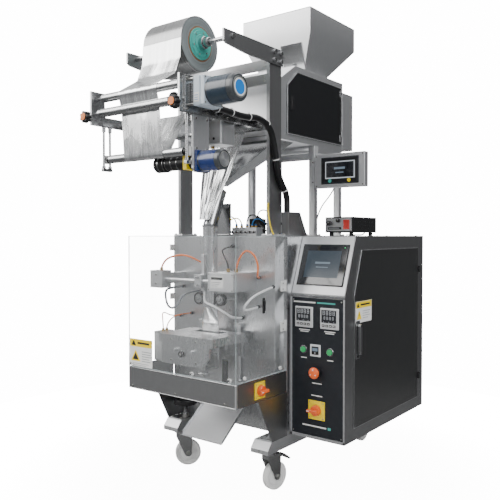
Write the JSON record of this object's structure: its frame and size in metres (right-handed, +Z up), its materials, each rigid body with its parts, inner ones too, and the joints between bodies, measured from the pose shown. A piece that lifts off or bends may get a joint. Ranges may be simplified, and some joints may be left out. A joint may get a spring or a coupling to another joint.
{
  "type": "vertical form fill sealer",
  "caption": "Stainless vertical form fill sealer on casters with film unwind, linear weigher and hopper, clear guard around the sealing jaws and an electrical cabinet.",
  "frame": {"origin": "on the floor under the middle of the machine's bounding box", "axes": "+Z up, -Y towards the operator, +X towards the electrical cabinet"},
  "size_m": [0.7384, 1.218, 1.764],
  "materials": {
    "stainless": "brushed satin",
    "bright_steel": "polished",
    "clear_acrylic": "clear",
    "panel_black": "satin",
    "grey_steel": "satin",
    "yellow_plastic": "gloss",
    "orange_red": "gloss",
    "green_plastic": "gloss",
    "film": "mirror-like film",
    "teal_plastic": "semi-gloss",
    "black_plastic": "matt",
    "motor_grey": "semi-gloss",
    "coder_blue": "gloss",
    "nylon": "smooth",
    "cable_black": "matt",
    "aluminium": "milled",
    "light_plastic": "matt"
  },
  "bodies": {
    "machine_frame": {"foot_beams": "stainless", "machine_body": "stainless", "guard_skirt": "stainless", "guard_side_panel": "clear_acrylic", "cabinet_shell": "stainless", "operator_panel": "panel_black", "switch_plates": "yellow_plastic", "electrics_plate": "light_plastic", "upper_frame": "stainless", "unwind_plates": "stainless", "feed_motor": "motor_grey", "date_coder": "coder_blue", "forming_tube": "stainless", "product_chute": "bright_steel", "seal_unit": "aluminium", "discharge_chute": "stainless", "weigher_housing": "stainless", "weigher_stand": "stainless", "hopper": "stainless", "feeder_controller": "black_plastic", "cable_bundle": "cable_black", "film_web": "film"},
    "fork_front_left": {"caster_fork_front_left": "bright_steel"},
    "fork_front_right": {"caster_fork_front_right": "bright_steel"},
    "wheel_front_left": {"caster_wheel_front_left": "nylon"},
    "wheel_front_right": {"caster_wheel_front_right": "nylon"},
    "wheel_rear_left": {"caster_wheel_rear_left": "nylon"},
    "wheel_rear_right": {"caster_wheel_rear_right": "nylon"},
    "brake_pedal": {"brake_pedal": "bright_steel"},
    "guard_door": {"guard_door": "clear_acrylic"},
    "cabinet_door": {"cabinet_door": "stainless"},
    "cabinet_handle": {"cabinet_handle": "bright_steel"},
    "start_button": {"start_button": "green_plastic"},
    "stop_button": {"stop_button": "orange_red"},
    "emergency_stop": {"emergency_stop": "orange_red"},
    "main_switch_knob": {"main_switch_knob": "orange_red"},
    "skirt_switch_knob": {"skirt_switch_knob": "orange_red"},
    "film_roll": {"film_roll": "film", "roll_spindle": "teal_plastic"},
    "clamp_knob_left": {"clamp_knob_left": "black_plastic"},
    "clamp_knob_right": {"clamp_knob_right": "black_plastic"},
    "guide_roller": {"guide_roller": "aluminium"},
    "motor_gear": {"motor_gear": "black_plastic"},
    "drive_roller": {"drive_roller": "black_plastic"},
    "dancer_roller": {"dancer_roller": "bright_steel"},
    "rear_roller": {"rear_roller": "aluminium"},
    "coder_wheel": {"coder_wheel": "black_plastic"},
    "pull_wheel_left": {"pull_wheel_left": "cable_black"},
    "pull_wheel_right": {"pull_wheel_right": "cable_black"},
    "vertical_seal_bar": {"vertical_seal_bar": "aluminium"},
    "jaw_carriage": {"jaw_carriage": "stainless"},
    "front_jaw": {"front_jaw": "grey_steel"},
    "rear_jaw": {"rear_jaw": "grey_steel"},
    "jack_handwheel": {"jack_handwheel": "black_plastic"},
    "weigher_hatch": {"weigher_hatch": "panel_black"},
    "hopper_gate": {"hopper_gate": "stainless"},
    "weigher_display": {"weigher_display": "aluminium"},
    "amplitude_dial": {"amplitude_dial": "black_plastic"},
    "speed_dial": {"speed_dial": "black_plastic"},
    "power_rocker": {"power_rocker": "black_plastic"}
  },
  "joints": [
    {"name": "swivel_front_left", "type": "hinge", "parent": "machine_frame", "child": "fork_front_left", "pos_m": [-0.32725, -0.142, 0.138], "axis": [0, 0, 1], "continuous": true},
    {"name": "roll_front_left", "type": "hinge", "parent": "fork_front_left", "child": "wheel_front_left", "pos_m": [-0.30604, -0.12079, 0.05], "axis": [0.7071, -0.7071, 0], "continuous": true},
    {"name": "swivel_front_right", "type": "hinge", "parent": "machine_frame", "child": "fork_front_right", "pos_m": [0.09675, -0.142, 0.138], "axis": [0, 0, 1], "continuous": true},
    {"name": "roll_front_right", "type": "hinge", "parent": "fork_front_right", "child": "wheel_front_right", "pos_m": [0.10196, -0.11246, 0.05], "axis": [0.9848, -0.1736, 0], "continuous": true},
    {"name": "roll_rear_left", "type": "hinge", "parent": "machine_frame", "child": "wheel_rear_left", "pos_m": [-0.32725, 0.553, 0.05], "axis": [1, 0, 0], "continuous": true},
    {"name": "roll_rear_right", "type": "hinge", "parent": "machine_frame", "child": "wheel_rear_right", "pos_m": [0.09675, 0.553, 0.05], "axis": [1, 0, 0], "continuous": true},
    {"name": "brake", "type": "hinge", "parent": "fork_front_right", "child": "brake_pedal", "pos_m": [0.10481, -0.09631, 0.118], "axis": [-0.9848, 0.1736, 0], "range_deg": [0, 22]},
    {"name": "guard_hinge", "type": "hinge", "parent": "machine_frame", "child": "guard_door", "pos_m": [0.13275, -0.085, 0.658], "axis": [0, 0, 1], "range_deg": [0, 75]},
    {"name": "cabinet_hinge", "type": "hinge", "parent": "machine_frame", "child": "cabinet_door", "pos_m": [0.35325, 0.549, 0.54], "axis": [0, 0, 1], "range_deg": [0, 110]},
    {"name": "handle_turn", "type": "hinge", "parent": "cabinet_door", "child": "cabinet_handle", "pos_m": [0.35475, 0.027, 0.585], "axis": [1, 0, 0], "range_deg": [0, 90]},
    {"name": "start_press", "type": "slide", "parent": "machine_frame", "child": "start_button", "axis": [0, 1, 0], "range_m": [0, 0.0036], "stiffness_N_per_m": 300},
    {"name": "stop_press", "type": "slide", "parent": "machine_frame", "child": "stop_button", "axis": [0, 1, 0], "range_m": [0, 0.0036], "stiffness_N_per_m": 300},
    {"name": "emergency_press", "type": "slide", "parent": "machine_frame", "child": "emergency_stop", "axis": [0, 1, 0], "range_m": [0, 0.004]},
    {"name": "main_switch_turn", "type": "hinge", "parent": "machine_frame", "child": "main_switch_knob", "pos_m": [0.24275, -0.067, 0.292], "axis": [0, -1, 0], "range_deg": [-90, 0]},
    {"name": "skirt_switch_turn", "type": "hinge", "parent": "machine_frame", "child": "skirt_switch_knob", "pos_m": [0.13975, -0.243, 0.381], "axis": [1, 0, 0], "range_deg": [-90, 0]},
    {"name": "roll_unwind", "type": "hinge", "parent": "machine_frame", "child": "film_roll", "pos_m": [-0.11525, -0.357, 1.528], "axis": [1, 0, 0], "continuous": true},
    {"name": "clamp_turn_left", "type": "hinge", "parent": "machine_frame", "child": "clamp_knob_left", "pos_m": [-0.31625, -0.589, 1.286], "axis": [0, 1, 0], "continuous": true},
    {"name": "clamp_turn_right", "type": "hinge", "parent": "machine_frame", "child": "clamp_knob_right", "pos_m": [0.08575, -0.589, 1.286], "axis": [0, 1, 0], "continuous": true},
    {"name": "guide_roll", "type": "hinge", "parent": "machine_frame", "child": "guide_roller", "pos_m": [-0.11525, -0.542, 1.352], "axis": [1, 0, 0], "continuous": true},
    {"name": "feed_drive", "type": "hinge", "parent": "machine_frame", "child": "motor_gear", "pos_m": [0.05075, -0.507, 1.32], "axis": [1, 0, 0], "continuous": true},
    {"name": "drive_roll", "type": "hinge", "parent": "machine_frame", "child": "drive_roller", "pos_m": [-0.11525, -0.557, 1.3], "axis": [1, 0, 0], "continuous": true},
    {"name": "dancer_lift", "type": "slide", "parent": "machine_frame", "child": "dancer_roller", "axis": [0, 0, 1], "range_m": [0, 0.07], "deforming": ["film_web"]},
    {"name": "rear_roll", "type": "hinge", "parent": "machine_frame", "child": "rear_roller", "pos_m": [-0.11525, -0.11, 1.283], "axis": [1, 0, 0], "continuous": true},
    {"name": "coder_roll", "type": "hinge", "parent": "machine_frame", "child": "coder_wheel", "pos_m": [-0.07325, -0.482, 1.123], "axis": [1, 0, 0], "continuous": true},
    {"name": "pull_left", "type": "hinge", "parent": "machine_frame", "child": "pull_wheel_left", "pos_m": [-0.16485, -0.207, 0.668], "axis": [0, 1, 0], "continuous": true},
    {"name": "pull_right", "type": "hinge", "parent": "machine_frame", "child": "pull_wheel_right", "pos_m": [-0.06565, -0.207, 0.668], "axis": [0, 1, 0], "continuous": true},
    {"name": "seal_press", "type": "slide", "parent": "machine_frame", "child": "vertical_seal_bar", "axis": [0, 1, 0], "range_m": [0, 0.004]},
    {"name": "carriage_stroke", "type": "slide", "parent": "machine_frame", "child": "jaw_carriage", "axis": [0, 0, 1], "range_m": [-0.05, 0]},
    {"name": "front_jaw_close", "type": "slide", "parent": "jaw_carriage", "child": "front_jaw", "axis": [0, 1, 0], "range_m": [0, 0.008]},
    {"name": "rear_jaw_close", "type": "slide", "parent": "jaw_carriage", "child": "rear_jaw", "axis": [0, -1, 0], "range_m": [0, 0.008]},
    {"name": "jack_turn", "type": "hinge", "parent": "machine_frame", "child": "jack_handwheel", "pos_m": [-0.30725, -0.135, 0.22], "axis": [0, 0, 1], "continuous": true},
    {"name": "hatch_hinge", "type": "hinge", "parent": "machine_frame", "child": "weigher_hatch", "pos_m": [0.10075, 0.363, 1.38], "axis": [0, 0, 1], "range_deg": [0, 100]},
    {"name": "gate_slide", "type": "slide", "parent": "machine_frame", "child": "hopper_gate", "axis": [0, -0.3048, 0.9524], "range_m": [0, 0.04]},
    {"name": "display_swivel", "type": "hinge", "parent": "machine_frame", "child": "weigher_display", "pos_m": [0.11075, 0.167, 1.138], "axis": [0, 0, 1], "range_deg": [0, 60]},
    {"name": "amplitude_turn", "type": "hinge", "parent": "machine_frame", "child": "amplitude_dial", "pos_m": [0.20475, 0.088, 0.941], "axis": [0, -1, 0], "range_deg": [-150, 150]},
    {"name": "speed_turn", "type": "hinge", "parent": "machine_frame", "child": "speed_dial", "pos_m": [0.24075, 0.088, 0.951], "axis": [0, -1, 0], "range_deg": [-150, 150]},
    {"name": "power_rock", "type": "hinge", "parent": "machine_frame", "child": "power_rocker", "pos_m": [0.27375, 0.0926, 0.936], "axis": [1, 0, 0], "range_deg": [-8, 8]}
  ],
  "couplings": [
    {"joint": "drive_roll", "follows": "feed_drive", "ratio": -1.1024},
    {"joint": "pull_right", "follows": "pull_left", "ratio": -1},
    {"joint": "rear_jaw_close", "follows": "front_jaw_close", "ratio": 1}
  ]
}
